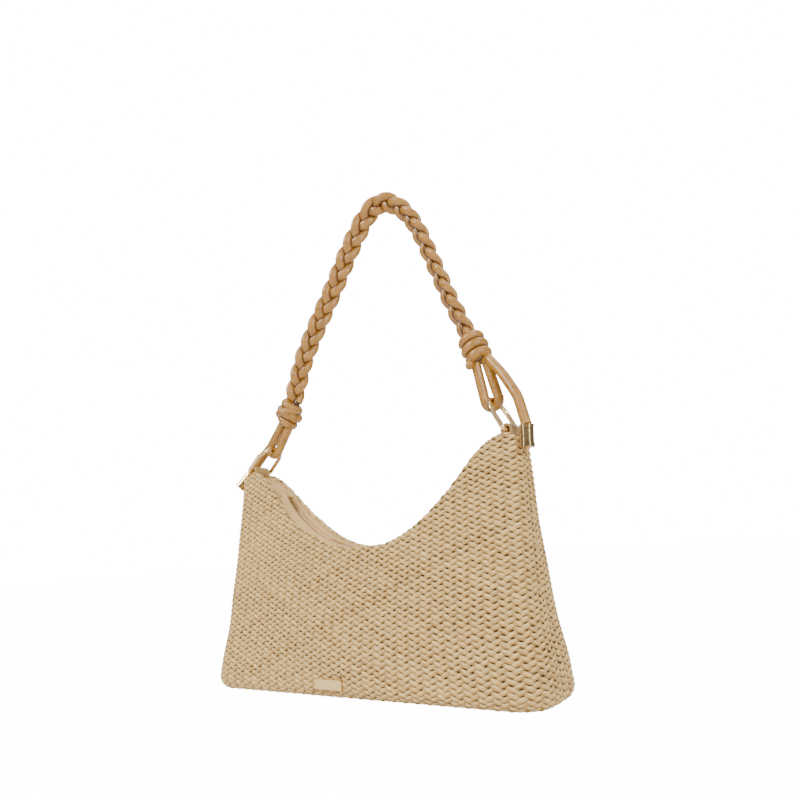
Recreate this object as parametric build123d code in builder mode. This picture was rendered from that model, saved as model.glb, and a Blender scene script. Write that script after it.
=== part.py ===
from build123d import *
import math
import os

os.makedirs("parts", exist_ok=True)

# Small woven-straw hobo bag with a scooped zip top and a plaited cord strap.
# Frame: origin at the centre of the footprint on the floor, X along the bag,
# front face towards -Y, +Z up, rest pose standing on its base, zip closed.
# All dimensions in mm.

# ------------------------------------------------------------- dimensions
WALL = 2.2                  # woven straw thickness
FLOOR_T = 2.4               # woven base thickness
LINING_T = 0.7              # cloth lining
# outer sections of the woven body: height, length, depth, corner radius at the
# right end, corner radius at the left end, shift along X. The soft body
# stands a little over to the left with a squarer left end.
SECTIONS = [
    (0.0, 268.0, 59.0, 21.0, 14.0, -1.5),
    (3.0, 275.0, 65.0, 23.0, 15.0, -2.0),
    (9.0, 278.0, 69.0, 25.0, 16.0, -1.6),
    (24.0, 274.5, 65.5, 24.0, 17.0, -1.7),
    (45.0, 268.0, 58.0, 21.0, 17.0, -2.4),
    (75.0, 265.0, 47.0, 17.0, 14.0, -3.0),
    (105.0, 259.5, 37.0, 13.0, 11.0, -2.2),
    (140.0, 254.0, 27.5, 9.0, 9.0, -0.8),
    (176.0, 250.0, 19.0, 5.0, 5.0, 0.6),
]
# scooped top edge, half of it: distance from the middle, height
SCOOP = [(0, 100.0), (24, 102.5), (42, 109.5), (60, 121.5), (72, 132.0),
         (84, 145.0), (93, 155.0), (103, 162.8), (114, 166.8), (120, 166.6),
         (126, 163.5), (150, 146.0)]
# zip follows an arc across the scoop
ZC = 197.5                  # height of the arc centre
ZR = 97.0                  # arc radius at the middle of the teeth
ZIP_END = 57.0              # half angle of the toothed length
SLIDER_AT = 54.0            # slider angle when closed
TEETH_IN, TEETH_OUT = 0.6, 2.0
TAPE_IN, TAPE_OUT = 2.05, 8.0
FACING_IN = 4.5             # facing edge stands this far from the zip middle
HEM = 10.0                  # facing hem turned down inside the wall

# D-rings in leather tab tunnels at the top corners
TAB_X, TAB_Z = 117.0, 171.5
TAB_R, TAB_BORE, TAB_W = 4.7, 2.15, 16.4
RING_WIRE = 3.4
RING_HALF = 12.0            # half of the straight bar, also the bow radius
RING_LIMB = 14.0
LEAN_R, LEAN_L = 27.5, 47.0  # rings lean inwards with the strap up

# strap
CORD = 5.6                  # each of the three plaited cords
SPREAD, STAGGER = 4.7, 1.6
TIE = 7.0                   # cord of the loops and tails
KNOT_R, KNOT_H = 9.8, 21.0
KNOT_LEFT = (-79.5, 216.0, 26.0)     # x, z, lean of the axis to +X
KNOT_RIGHT = (95.5, 232.5, -21.0)
STRAP = [(-74.8, 226.0), (-69.5, 240.0), (-60.5, 260.5), (-48.5, 279.5),
         (-35.5, 298.0), (-22.5, 316.5), (-10.0, 335.5), (2.5, 352.0),
         (13.5, 363.0), (25.0, 366.8), (36.5, 361.5), (48.0, 349.5),
         (57.5, 332.0), (65.5, 311.0), (72.5, 291.0), (80.0, 270.5),
         (87.5, 252.5), (91.8, 242.5)]
LOOP_R = 5.5                # loop centreline round the ring wire
CAP_D, CAP_H = 8.8, 14.5

BIG = 400.0


def body(name, inset, floor_z, top_extra=0.0):
    """Lofted solid that follows the woven body, inset by a wall."""
    sections = list(SECTIONS)
    if floor_z > 0:
        low, high = SECTIONS[1], SECTIONS[2]
        t = (floor_z - low[0]) / (high[0] - low[0])
        sections = [(floor_z,) + tuple(low[i] + t * (high[i] - low[i]) for i in (1, 2, 3, 4, 5))] + sections[2:]
    with BuildPart() as p:
        for (z, length, depth, radius_r, radius_l, shift) in sections:
            top = top_extra if z == SECTIONS[-1][0] else 0.0
            a, b = length / 2 - inset, depth / 2 - inset
            r, l = max(radius_r - inset, 1.2), max(radius_l - inset, 1.2)
            q = math.sqrt(0.5)
            with BuildSketch(Plane.XY.offset(z + top)):
                with BuildLine():
                    Line((shift - a + l, -b), (shift + a - r, -b))
                    ThreePointArc((shift + a - r, -b), (shift + a - r + r * q, -b + r - r * q), (shift + a, -b + r))
                    Line((shift + a, -b + r), (shift + a, b - r))
                    ThreePointArc((shift + a, b - r), (shift + a - r + r * q, b - r + r * q), (shift + a - r, b))
                    Line((shift + a - r, b), (shift - a + l, b))
                    ThreePointArc((shift - a + l, b), (shift - a + l - l * q, b - l + l * q), (shift - a, b - l))
                    Line((shift - a, b - l), (shift - a, -b + l))
                    ThreePointArc((shift - a, -b + l), (shift - a + l - l * q, -b + l - l * q), (shift - a + l, -b))
                make_face()
        loft(ruled=True)
    p.part.label = name
    return p


def scoop_points(drop=0.0):
    right = [(x, z - drop) for (x, z) in SCOOP]
    return [(-x, z) for (x, z) in reversed(right[1:])] + right




def at_arc(radius, degrees):
    a = math.radians(degrees)
    return (radius * math.sin(a), ZC - radius * math.cos(a))


def sector(r_in, r_out, a0, a1, y0, y1):
    """Solid curved strip along the zip arc, between two arc angles and two depths."""
    am = (a0 + a1) / 2
    with BuildPart() as p:
        with BuildSketch(Plane.XZ.offset(-(y0 + y1) / 2)):
            with BuildLine():
                ThreePointArc(at_arc(r_in, a0), at_arc(r_in, am), at_arc(r_in, a1))
                Line(at_arc(r_in, a1), at_arc(r_out, a1))
                ThreePointArc(at_arc(r_out, a1), at_arc(r_out, am), at_arc(r_out, a0))
                Line(at_arc(r_out, a0), at_arc(r_in, a0))
            make_face()
        extrude(amount=(y1 - y0) / 2, both=True)
    return p.part


def slab(x0, x1, y0, y1, z0, z1, mode=Mode.ADD):
    with Locations(((x0 + x1) / 2, (y0 + y1) / 2, (z0 + z1) / 2)):
        Box(x1 - x0, y1 - y0, z1 - z0, mode=mode)


outer = body("outer", 0.0, 0.0)
inner = body("inner", WALL, FLOOR_T, 4.0)
lining_out = body("lining_out", WALL + 0.1, FLOOR_T + 0.1, 4.0)
lining_in = body("lining_in", WALL + 0.1 + LINING_T, FLOOR_T + 0.1 + LINING_T, 4.0)

# ------------------------------------------------------------ woven panels
with BuildPart() as wall:
    add(outer.part)
    add(inner.part, mode=Mode.SUBTRACT)
    edge_points = scoop_points()
    with BuildSketch(Plane.XZ):
        with BuildLine():
            Spline(*edge_points)
            Polyline(edge_points[-1], (150, 260), (-150, 260), edge_points[0])
        make_face()
    extrude(amount=BIG / 2, both=True, mode=Mode.SUBTRACT)


def side_wedge(sign):
    """Everything outside the side seam, which keeps its distance from the end wall."""
    seam = [(s[5] + sign * (s[1] / 2 - 7.0 + 0.026 * s[0]), s[0]) for s in SECTIONS[2:]]
    seam = [(seam[0][0], -10.0)] + seam + [(seam[-1][0], 220.0)]
    with BuildPart() as p:
        with BuildSketch(Plane.XZ):
            Polygon(*seam, (sign * 200, 220), (sign * 200, -10), align=None)
        extrude(amount=BIG / 2, both=True)
    return p.part


PLATE = (-32.0, -8.4, 6.4, 13.2)       # name plate x0, x1, z0, z1
PLATE_Y0, PLATE_Y1 = -36.2, -34.0

with BuildPart() as base_panel:
    add(wall.part)
    slab(-BIG, BIG, -BIG, BIG, FLOOR_T, BIG, mode=Mode.SUBTRACT)
base_panel.part.label = "base_panel"

with BuildPart() as front_panel:
    add(wall.part)
    slab(-BIG, BIG, -BIG, BIG, -10, FLOOR_T, mode=Mode.SUBTRACT)
    slab(-BIG, BIG, 0, BIG, -10, BIG, mode=Mode.SUBTRACT)
    add(side_wedge(1), mode=Mode.SUBTRACT)
    add(side_wedge(-1), mode=Mode.SUBTRACT)
    slab(PLATE[0], PLATE[1], PLATE_Y0 - 5, PLATE_Y1, PLATE[2], PLATE[3], mode=Mode.SUBTRACT)
front_panel.part.label = "front_panel"

with BuildPart() as back_panel:
    add(wall.part)
    slab(-BIG, BIG, -BIG, BIG, -10, FLOOR_T, mode=Mode.SUBTRACT)
    slab(-BIG, BIG, -BIG, 0, -10, BIG, mode=Mode.SUBTRACT)
    add(side_wedge(1), mode=Mode.SUBTRACT)
    add(side_wedge(-1), mode=Mode.SUBTRACT)
back_panel.part.label = "back_panel"

gussets = {}
for side, sign in (("left", -1), ("right", 1)):
    with BuildPart() as gusset:
        add(wall.part)
        slab(-BIG, BIG, -BIG, BIG, -10, FLOOR_T, mode=Mode.SUBTRACT)
        add(side_wedge(sign), mode=Mode.INTERSECT)
    gusset.part.label = "gusset_" + side
    gussets[side] = gusset

# --------------------------------------------------------------- name plate
with BuildPart() as name_plate:
    slab(PLATE[0], PLATE[1], PLATE_Y0, PLATE_Y1, PLATE[2], PLATE[3])
    fillet(name_plate.edges().filter_by(Axis.Y), 1.2)
name_plate.part.label = "name_plate"

# ------------------------------------------------------------------ lining
with BuildPart() as lining:
    add(lining_out.part)
    add(lining_in.part, mode=Mode.SUBTRACT)
    with BuildSketch(Plane.XZ):
        with Locations((0, ZC)):
            Circle(ZR + HEM + 0.2)
        Polygon((-200, 152), (200, 152), (200, 300), (-200, 300), align=None)
    extrude(amount=BIG / 2, both=True, mode=Mode.SUBTRACT)
lining.part.label = "lining"

# ------------------------------------------------- facings beside the zip
# a smooth cloth strip along the zip arc with its outer rim turned down
# inside the woven wall as a hem
with BuildPart() as facing_shell:
    add(lining_out.part)
    add(sector(ZR - 0.9, ZR + HEM, -59.6, 59.6, -BIG / 2, BIG / 2), mode=Mode.INTERSECT)
with BuildPart() as facing_core:
    add(lining_in.part)
    add(sector(ZR, ZR + HEM + 5, -64.0, 64.0, -BIG / 2, BIG / 2), mode=Mode.INTERSECT)

facings = {}
for side, sign in (("front", -1), ("back", 1)):
    with BuildPart() as facing:
        add(facing_shell.part)
        add(facing_core.part, mode=Mode.SUBTRACT)
        slab(-BIG, BIG, min(-sign * BIG, sign * FACING_IN), max(-sign * BIG, sign * FACING_IN),
             -10, BIG, mode=Mode.SUBTRACT)
    facing.part.label = "facing_" + side
    facings[side] = facing

# end facings close the top corners between the zip and the tabs
end_facings = {}
for side, sign in (("left", -1), ("right", 1)):
    top = [(83.0, 147.6), (88.0, 151.2), (93.0, 154.4), (103.0, 161.6), (110.0, 164.8), (116.0, 165.0), (121.0, 162.5)]
    outline = [(sign * x, z) for (x, z) in top] + [(sign * x, z - 1.2) for (x, z) in reversed(top)]
    with BuildPart() as end_facing:
        add(lining_out.part)
        with BuildSketch(Plane.XZ):
            Polygon(*outline, align=None)
        extrude(amount=BIG / 2, both=True, mode=Mode.INTERSECT)
        add(sector(ZR - 20, ZR + 40, -60.0, 60.0, -BIG / 2, BIG / 2), mode=Mode.SUBTRACT)
        slab(sign * TAB_X - 2.6, sign * TAB_X + 2.6, -BIG, BIG, 120, 200, mode=Mode.SUBTRACT)
        slab(min(sign * (TAB_X + 2), sign * 200), max(sign * (TAB_X + 2), sign * 200),
             -BIG, BIG, 120, 200, mode=Mode.SUBTRACT)
    end_facing.part.label = "facing_end_" + side
    end_facings[side] = end_facing

# --------------------------------------------------------------------- zip
tapes, teeth = {}, {}
for side, sign in (("front", -1), ("back", 1)):
    with BuildPart() as tape:
        add(sector(ZR + 0.05, ZR + 0.65, -59.0, 59.0, min(sign * TAPE_IN, sign * TAPE_OUT),
                   max(sign * TAPE_IN, sign * TAPE_OUT)))
        add(lining_in.part, mode=Mode.INTERSECT)
    tape.part.label = "zip_tape_" + side
    tapes[side] = tape
    with BuildPart() as row:
        add(sector(ZR - 1.1, ZR + 1.1, -ZIP_END, ZIP_END, min(sign * TEETH_IN, sign * TEETH_OUT),
                   max(sign * TEETH_IN, sign * TEETH_OUT)))
    row.part.label = "zip_teeth_" + side
    teeth[side] = row

stops = {}
for side, sign in (("left", -1), ("right", 1)):
    with BuildPart() as stop:
        add(sector(ZR - 1.8, ZR - 0.05, min(sign * 58.7, sign * 57.7), max(sign * 58.7, sign * 57.7), -2.6, 2.6))
    stop.part.label = "zip_stop_" + side
    stops[side] = stop

# slider: two plates joined by a thin post, a bail on top
SLIDER_HALF = 2.35                         # half length in degrees of arc
A = math.radians(SLIDER_AT)
SX, SZ = at_arc(ZR, SLIDER_AT)
# local plane: x along the zip towards the closed end, y up towards the centre
slide_plane = Plane(origin=(SX, 0, SZ), x_dir=(math.cos(A), 0, math.sin(A)), z_dir=(0, -1, 0))
with BuildPart() as zip_slider:
    add(sector(ZR - 2.5, ZR - 1.5, SLIDER_AT - SLIDER_HALF, SLIDER_AT + SLIDER_HALF, -3.3, 3.3))
    add(sector(ZR + 1.5, ZR + 2.4, SLIDER_AT - SLIDER_HALF, SLIDER_AT + SLIDER_HALF, -3.3, 3.3))
    add(sector(ZR - 1.6, ZR + 1.6, SLIDER_AT - 0.2, SLIDER_AT + SLIDER_HALF - 0.4, -0.22, 0.22))
    with BuildSketch(slide_plane):
        with BuildLine():
            Polyline((-2.7, 2.3), (-2.7, 4.6), (-2.0, 5.2), (2.0, 5.2), (2.7, 4.6), (2.7, 2.3),
                     (1.8, 2.3), (1.8, 4.4), (-1.8, 4.4), (-1.8, 2.3), (-2.7, 2.3))
        make_face()
    extrude(amount=0.7, both=True)
zip_slider.part.label = "zip_slider"

# puller: cross bar under the bail, window, long plate
PIVOT_UP = 3.45
PULL_TILT = 5.0
PA = math.radians(SLIDER_AT - PULL_TILT)
PX, PZ = SX - PIVOT_UP * math.sin(A), SZ + PIVOT_UP * math.cos(A)
pull_plane = Plane(origin=(PX, 0, PZ), x_dir=(-math.cos(PA), 0, -math.sin(PA)), z_dir=(0, 1, 0))
with BuildPart() as zip_puller:
    with BuildSketch(pull_plane):
        with Locations((-0.0, 0)):
            Rectangle(1.1, 1.1)
    extrude(amount=2.4, both=True)
    for s in (-1, 1):
        with BuildSketch(pull_plane.offset(s * 1.8)):
            Rectangle(4.6, 1.1, align=(Align.MIN, Align.CENTER))
        extrude(amount=0.6, both=True)
    with BuildSketch(pull_plane):
        with Locations((3.6, 0)):
            Rectangle(13.4, 1.1, align=(Align.MIN, Align.CENTER))
    extrude(amount=2.4, both=True)
zip_puller.part.label = "zip_puller"

# ------------------------------------------------------- leather tab loops
tabs = {}
for side, sign in (("left", -1), ("right", 1)):
    with BuildPart() as tab:
        with BuildSketch(Plane.XZ):
            with Locations((sign * TAB_X, TAB_Z)):
                Circle(TAB_R)
        extrude(amount=TAB_W / 2, both=True)
        slab(sign * TAB_X - 2.5, sign * TAB_X + 2.5, -6.2, 6.2, 146, TAB_Z)
        with BuildSketch(Plane.XZ):
            with Locations((sign * TAB_X, TAB_Z)):
                Circle(TAB_BORE)
        extrude(amount=TAB_W, both=True, mode=Mode.SUBTRACT)
    tab.part.label = "tab_loop_" + side
    tabs[side] = tab

# ----------------------------------------------------------------- D-rings
rings = {}
for side, sign, lean in (("left", -1, LEAN_L), ("right", 1, LEAN_R)):
    a = math.radians(lean)
    ring_plane = Plane(origin=(sign * TAB_X, 0, TAB_Z), x_dir=(0, 1, 0),
                       z_dir=(sign * math.cos(a), 0, math.sin(a)) if sign > 0 else (math.cos(a), 0, -math.sin(a)))
    # in this plane x runs along Y and y runs up the leaning ring
    CR = 2.6
    with BuildPart() as ring:
        with BuildLine(ring_plane) as path:
            Line((-RING_HALF + CR, 0), (RING_HALF - CR, 0))
            ThreePointArc((RING_HALF - CR, 0), (RING_HALF - CR + CR * math.sin(math.pi / 4), CR - CR * math.cos(math.pi / 4)), (RING_HALF, CR))
            Line((RING_HALF, CR), (RING_HALF, RING_LIMB))
            ThreePointArc((RING_HALF, RING_LIMB), (0, RING_LIMB + RING_HALF), (-RING_HALF, RING_LIMB))
            Line((-RING_HALF, RING_LIMB), (-RING_HALF, CR))
            ThreePointArc((-RING_HALF, CR), (-RING_HALF + CR - CR * math.sin(math.pi / 4), CR - CR * math.cos(math.pi / 4)), (-RING_HALF + CR, 0))
        with BuildSketch(Plane(origin=(sign * TAB_X, 0, TAB_Z), z_dir=(0, 1, 0))):
            Circle(RING_WIRE / 2)
        sweep(path=path.wire())
    ring.part.label = "ring_" + side
    rings[side] = ring


def bow_top(sign, lean):
    a = math.radians(lean)
    reach = RING_LIMB + RING_HALF
    return (sign * (TAB_X - reach * math.sin(a)), TAB_Z + reach * math.cos(a))


# -------------------------------------------------------------------- knots
knots = {}
for side, (kx, kz, lean) in (("left", KNOT_LEFT), ("right", KNOT_RIGHT)):
    a = math.radians(lean)
    knot_plane = Plane(origin=(kx, 0, kz), z_dir=(math.sin(a), 0, math.cos(a)))
    with BuildPart() as knot:
        with BuildSketch(knot_plane.offset(-KNOT_H / 2)):
            Circle(KNOT_R - 3.4)
        extrude(amount=KNOT_H)
        for k in (-1, 0, 1):
            with Locations(knot_plane.offset(k * 6.9).location):
                Torus(KNOT_R - 3.45, 3.45)
    knot.part.label = "knot_" + side
    knots[side] = knot


def offset_path(points, off):
    out = []
    for i, (x, z) in enumerate(points):
        x0, z0 = points[max(i - 1, 0)]
        x1, z1 = points[min(i + 1, len(points) - 1)]
        n = math.hypot(x1 - x0, z1 - z0)
        out.append((x - off * (z1 - z0) / n, z + off * (x1 - x0) / n))
    return out


# ------------------------------------------- three cords of the strap plait
cords = {}
for letter, off, y in (("a", SPREAD, -STAGGER), ("b", 0.0, STAGGER), ("c", -SPREAD, -STAGGER)):
    pts = offset_path(STRAP, off)
    with BuildPart() as cord:
        with BuildLine(Plane.XZ.offset(-y)) as path:
            Spline(*pts)
        w = path.wire()
        with BuildSketch(Plane(origin=w @ 0, z_dir=w % 0)):
            Circle(CORD / 2)
        sweep(path=w)
        add(knots["left"].part, mode=Mode.SUBTRACT)
        add(knots["right"].part, mode=Mode.SUBTRACT)
    cord.part.label = "strap_cord_" + letter
    cords[letter] = cord


# -------------------------------- cord loops that tie the strap to the rings
def tangent_point(p, c, r, side):
    dx, dz = p[0] - c[0], p[1] - c[1]
    d = math.hypot(dx, dz)
    base = math.atan2(dz, dx)
    a = base + side * math.acos(r / d)
    return (c[0] + r * math.cos(a), c[1] + r * math.sin(a))


loops = {}
for side, sign, lean, (kx, kz, klean) in (("left", -1, LEAN_L, KNOT_LEFT), ("right", 1, LEAN_R, KNOT_RIGHT)):
    c = bow_top(sign, lean)
    a = math.radians(klean)
    up, across = (math.sin(a), math.cos(a)), (math.cos(a), -math.sin(a))
    root = (kx - up[0] * (KNOT_H / 2 + 1.8), kz - up[1] * (KNOT_H / 2 + 1.8))
    pa = (root[0] - across[0] * 3.9, root[1] - across[1] * 3.9)
    pb = (root[0] + across[0] * 3.9, root[1] + across[1] * 3.9)
    ta = tangent_point(pa, c, LOOP_R, 1)
    tb = tangent_point(pb, c, LOOP_R, -1)
    mid = ((pa[0] + pb[0]) / 2 - c[0], (pa[1] + pb[1]) / 2 - c[1])
    n = math.hypot(*mid)
    bottom = (c[0] - LOOP_R * mid[0] / n, c[1] - LOOP_R * mid[1] / n)
    with BuildPart() as loop:
        with BuildLine(Plane.XZ) as path:
            Line(pa, ta)
            ThreePointArc(ta, bottom, tb)
            Line(tb, pb)
        w = path.wire()
        with BuildSketch(Plane(origin=w @ 0, z_dir=w % 0)):
            Circle(TIE / 2)
        sweep(path=w)
    loop.part.label = "ring_loop_" + side
    loops[side] = loop

# ------------------------------------------------ loose tails with end caps
TAILS = {
    "right": [(103.5, 0.0, 225.5), (116.0, -4.0, 210.0), (127.2, -8.5, 192.0), (132.2, -10.5, 172.0)],
    "left": [(-88.5, 4.0, 209.0), (-106.5, 8.0, 197.0), (-122.5, 9.0, 185.0), (-134.5, 6.5, 171.5)],
}
# direction of each end cap, cap start to tip
CAP_AXIS = {"right": (-0.04, -0.03, -1.0), "left": (-0.45, -0.42, -0.72)}
tails, caps = {}, {}
for side, pts in TAILS.items():
    vec = [Vector(*p) for p in pts]
    runs = [(vec[i + 1] - vec[i]).length for i in range(len(vec) - 1)]
    radii = []
    for i in range(1, len(vec) - 1):
        u = (vec[i] - vec[i - 1]).normalized()
        v = (vec[i + 1] - vec[i]).normalized()
        half = math.acos(max(-1.0, min(1.0, u.dot(v)))) / 2
        radii.append(round(0.45 * min(runs[i - 1], runs[i]) / math.tan(half), 2))
    print("tail", side, "runs", [round(r, 1) for r in runs], "radii", radii)
    with BuildPart() as tail:
        with BuildLine() as path:
            FilletPolyline(*pts, radius=radii)
        w = path.wire()
        with BuildSketch(Plane(origin=w @ 0, z_dir=w % 0)):
            Circle(TIE / 2)
        sweep(path=w)
        length = w.length
        end, end_dir = w @ 1, w % 1
        cord_end = tail.part
        print("tail", side, "length", round(length, 2), "volume", round(tail.part.volume, 1),
              "expected", round(math.pi * (TIE / 2) ** 2 * length, 1))
        add(knots[side].part, mode=Mode.SUBTRACT)
        add(loops[side].part, mode=Mode.SUBTRACT)
    tail.part.label = "tail_" + side
    tails[side] = tail
    cap_plane = Plane(origin=end, z_dir=CAP_AXIS[side])
    with BuildPart() as cap:
        with BuildSketch(cap_plane.offset(0.05)):
            Circle(CAP_D / 2)
        extrude(amount=CAP_H - 0.05)
        with BuildSketch(cap_plane.offset(0.05)):
            Circle(CAP_D / 2 + 0.35)
        extrude(amount=1.4)
        with BuildSketch(cap_plane.offset(CAP_H - 2.6)):
            Circle(CAP_D / 2 + 0.4)
        extrude(amount=2.6)
        add(cord_end, mode=Mode.SUBTRACT)
    cap.part.label = "end_cap_" + side
    caps[side] = cap

# ------------------------------------------------------------------ export
export_step(front_panel.part, "parts/front_panel.step")
export_step(back_panel.part, "parts/back_panel.step")
export_step(base_panel.part, "parts/base_panel.step")
export_step(name_plate.part, "parts/name_plate.step")
export_step(lining.part, "parts/lining.step")
export_step(zip_slider.part, "parts/zip_slider.step")
export_step(zip_puller.part, "parts/zip_puller.step")
for group in (gussets, facings, end_facings, tapes, teeth, stops, tabs, rings, knots, cords, loops, tails, caps):
    for p in group.values():
        export_step(p.part, "parts/" + p.part.label + ".step")
for group in ({"f": front_panel, "b": back_panel, "u": base_panel, "n": name_plate, "l": lining, "s": zip_slider, "p": zip_puller},
              gussets, facings, end_facings, tapes, teeth, stops, tabs, rings, knots, cords, loops, tails, caps):
    for p in group.values():
        b = p.part.bounding_box()
        print("%-18s vol %9.1f solids %d  x %7.1f %7.1f  y %6.1f %6.1f  z %6.1f %6.1f" % (
            p.part.label, p.part.volume, len(p.part.solids()), b.min.X, b.max.X, b.min.Y, b.max.Y, b.min.Z, b.max.Z))
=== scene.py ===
import bpy
import math
import numpy as np
from mathutils import Matrix, Vector


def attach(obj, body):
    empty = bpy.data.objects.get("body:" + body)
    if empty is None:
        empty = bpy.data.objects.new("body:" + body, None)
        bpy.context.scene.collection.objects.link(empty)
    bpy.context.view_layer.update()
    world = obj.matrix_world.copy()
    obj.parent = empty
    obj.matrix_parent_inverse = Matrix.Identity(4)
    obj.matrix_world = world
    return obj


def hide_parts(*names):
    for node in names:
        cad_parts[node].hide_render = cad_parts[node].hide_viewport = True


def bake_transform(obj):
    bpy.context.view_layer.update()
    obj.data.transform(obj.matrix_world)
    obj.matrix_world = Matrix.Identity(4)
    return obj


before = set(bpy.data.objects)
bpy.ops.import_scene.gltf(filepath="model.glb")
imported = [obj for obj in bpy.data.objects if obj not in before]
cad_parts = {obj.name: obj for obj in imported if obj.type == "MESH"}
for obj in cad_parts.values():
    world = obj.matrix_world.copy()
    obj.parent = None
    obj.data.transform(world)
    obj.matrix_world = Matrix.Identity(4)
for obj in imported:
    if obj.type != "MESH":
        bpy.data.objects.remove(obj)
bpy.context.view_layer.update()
RNG = np.random.default_rng(7)
MM = 0.001

# ---------------------------------------------------------------- camera
AZ, EL, ROLL, DIST = 0.5847, -0.1509, -0.0645, 0.4846
TARGET = Vector((0.0280, 0.0, 0.1710))
cam_data = bpy.data.cameras.new("camera")
cam = bpy.data.objects.new("camera", cam_data)
bpy.context.scene.collection.objects.link(cam)
bpy.context.scene.camera = cam
back_dir = Vector((math.sin(AZ) * math.cos(EL), -math.cos(AZ) * math.cos(EL), math.sin(EL)))
right0 = Vector((math.cos(AZ), math.sin(AZ), 0.0))
up0 = back_dir.cross(right0)
right1 = right0 * math.cos(ROLL) + up0 * math.sin(ROLL)
up1 = up0 * math.cos(ROLL) - right0 * math.sin(ROLL)
m = Matrix.Identity(4)
for i in range(3):
    m[i][0], m[i][1], m[i][2], m[i][3] = right1[i], up1[i], back_dir[i], (TARGET + back_dir * DIST)[i]
cam.matrix_world = m
cam_data.sensor_width = 36.0
cam_data.lens = 660.9 * 36.0 / 800.0
cam_data.shift_y = 50.0 / 800.0
cam_data.clip_start, cam_data.clip_end = 0.01, 50.0


# ------------------------------------------------------------- mesh tools
def mesh_piece(name, verts, faces, attrs=None, smooth=True, unit=MM):
    """verts (n,3) in mm; faces (m,4) or (m,3) index array or a list of them."""
    me = bpy.data.meshes.new(name)
    verts = np.asarray(verts, float) * unit
    if isinstance(faces, np.ndarray):
        k = faces.shape[1]
        me.vertices.add(len(verts))
        me.vertices.foreach_set("co", verts.ravel())
        me.loops.add(faces.size)
        me.loops.foreach_set("vertex_index", faces.astype(np.int32).ravel())
        me.polygons.add(len(faces))
        me.polygons.foreach_set("loop_start", np.arange(0, faces.size, k, dtype=np.int32))
        me.polygons.foreach_set("loop_total", np.full(len(faces), k, dtype=np.int32))
        me.update(calc_edges=True)
    else:
        me.from_pydata([tuple(v) for v in verts], [], [list(map(int, f)) for f in faces])
        me.update()
    me.validate()
    if smooth:
        me.polygons.foreach_set("use_smooth", np.ones(len(me.polygons), dtype=bool))
    for key, values in (attrs or {}).items():
        a = me.attributes.new(key, "FLOAT", "POINT")
        a.data.foreach_set("value", np.asarray(values, np.float32))
    ob = bpy.data.objects.new(name, me)
    bpy.context.scene.collection.objects.link(ob)
    return ob


def unit_rows(v):
    return v / np.maximum(np.linalg.norm(v, axis=-1, keepdims=True), 1e-9)


class Tubes:
    """Collects closed tubes: rings of points joined along a path, capped."""

    def __init__(self):
        self.v, self.q, self.n, self.attr = [], [], 0, {}

    def add(self, rings, **attrs):
        """rings (n, k, 3)."""
        n, k, _ = rings.shape
        cap0, cap1 = rings[0].mean(0), rings[-1].mean(0)
        base = self.n
        self.v.append(np.concatenate([rings.reshape(-1, 3), cap0[None], cap1[None]]))
        i = np.arange(n - 1)[:, None] * k
        j = np.arange(k)[None, :]
        j2 = (j + 1) % k
        quads = np.stack([i + j, i + j2, i + k + j2, i + k + j], -1).reshape(-1, 4)
        self.q.append(quads + base)
        c0, c1 = n * k, n * k + 1
        jj = np.arange(k)
        t0 = np.stack([(jj + 1) % k, jj, np.full(k, c0), np.full(k, c0)], -1)
        t1 = np.stack([(n - 1) * k + jj, (n - 1) * k + (jj + 1) % k, np.full(k, c1), np.full(k, c1)], -1)
        self.q.append(np.concatenate([t0, t1]) + base)
        for key, val in attrs.items():
            val = np.asarray(val, float)
            if val.ndim == 0:
                full = np.full(n * k + 2, float(val))
            elif val.ndim == 1:
                full = np.concatenate([np.repeat(val, k), [val[0], val[-1]]])
            else:
                full = np.concatenate([val.reshape(-1), [val[0].mean(), val[-1].mean()]])
            self.attr.setdefault(key, []).append(full)
        self.n += n * k + 2

    def build(self, name):
        v = np.concatenate(self.v)
        q = np.concatenate(self.q)
        tri = q[q[:, 2] == q[:, 3]][:, :3]
        quad = q[q[:, 2] != q[:, 3]]
        me = bpy.data.meshes.new(name)
        me.vertices.add(len(v))
        me.vertices.foreach_set("co", (v * MM).ravel())
        loops = np.concatenate([quad.ravel(), tri.ravel()]).astype(np.int32)
        me.loops.add(len(loops))
        me.loops.foreach_set("vertex_index", loops)
        tot = np.concatenate([np.full(len(quad), 4), np.full(len(tri), 3)]).astype(np.int32)
        start = np.concatenate([[0], np.cumsum(tot)[:-1]]).astype(np.int32)
        me.polygons.add(len(tot))
        me.polygons.foreach_set("loop_start", start)
        me.polygons.foreach_set("loop_total", tot)
        me.update(calc_edges=True)
        me.validate()
        me.polygons.foreach_set("use_smooth", np.ones(len(me.polygons), dtype=bool))
        for key, parts in self.attr.items():
            a = me.attributes.new(key, "FLOAT", "POINT")
            a.data.foreach_set("value", np.concatenate(parts).astype(np.float32))
        ob = bpy.data.objects.new(name, me)
        bpy.context.scene.collection.objects.link(ob)
        return ob


def tube_rings(path, radius, k=14, up=(0, 1, 0), flat=1.0, power=2.0, taper=None):
    """Rings round a path (n,3) in mm; the section's first axis is kept near up."""
    t = unit_rows(np.gradient(path, axis=0))
    u = np.broadcast_to(np.array(up, float), t.shape)
    b = unit_rows(u - (u * t).sum(1, keepdims=True) * t)
    nrm = np.cross(t, b)
    a = np.linspace(0, 2 * np.pi, k, endpoint=False)
    r = np.broadcast_to(np.asarray(radius, float), (len(path),))
    ca, sa = np.cos(a), np.sin(a)
    ca = np.sign(ca) * np.abs(ca) ** (2 / power)
    sa = np.sign(sa) * np.abs(sa) ** (2 / power)
    return path[:, None, :] + r[:, None, None] * (ca[None, :, None] * nrm[:, None, :] + flat * sa[None, :, None] * b[:, None, :])


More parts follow.
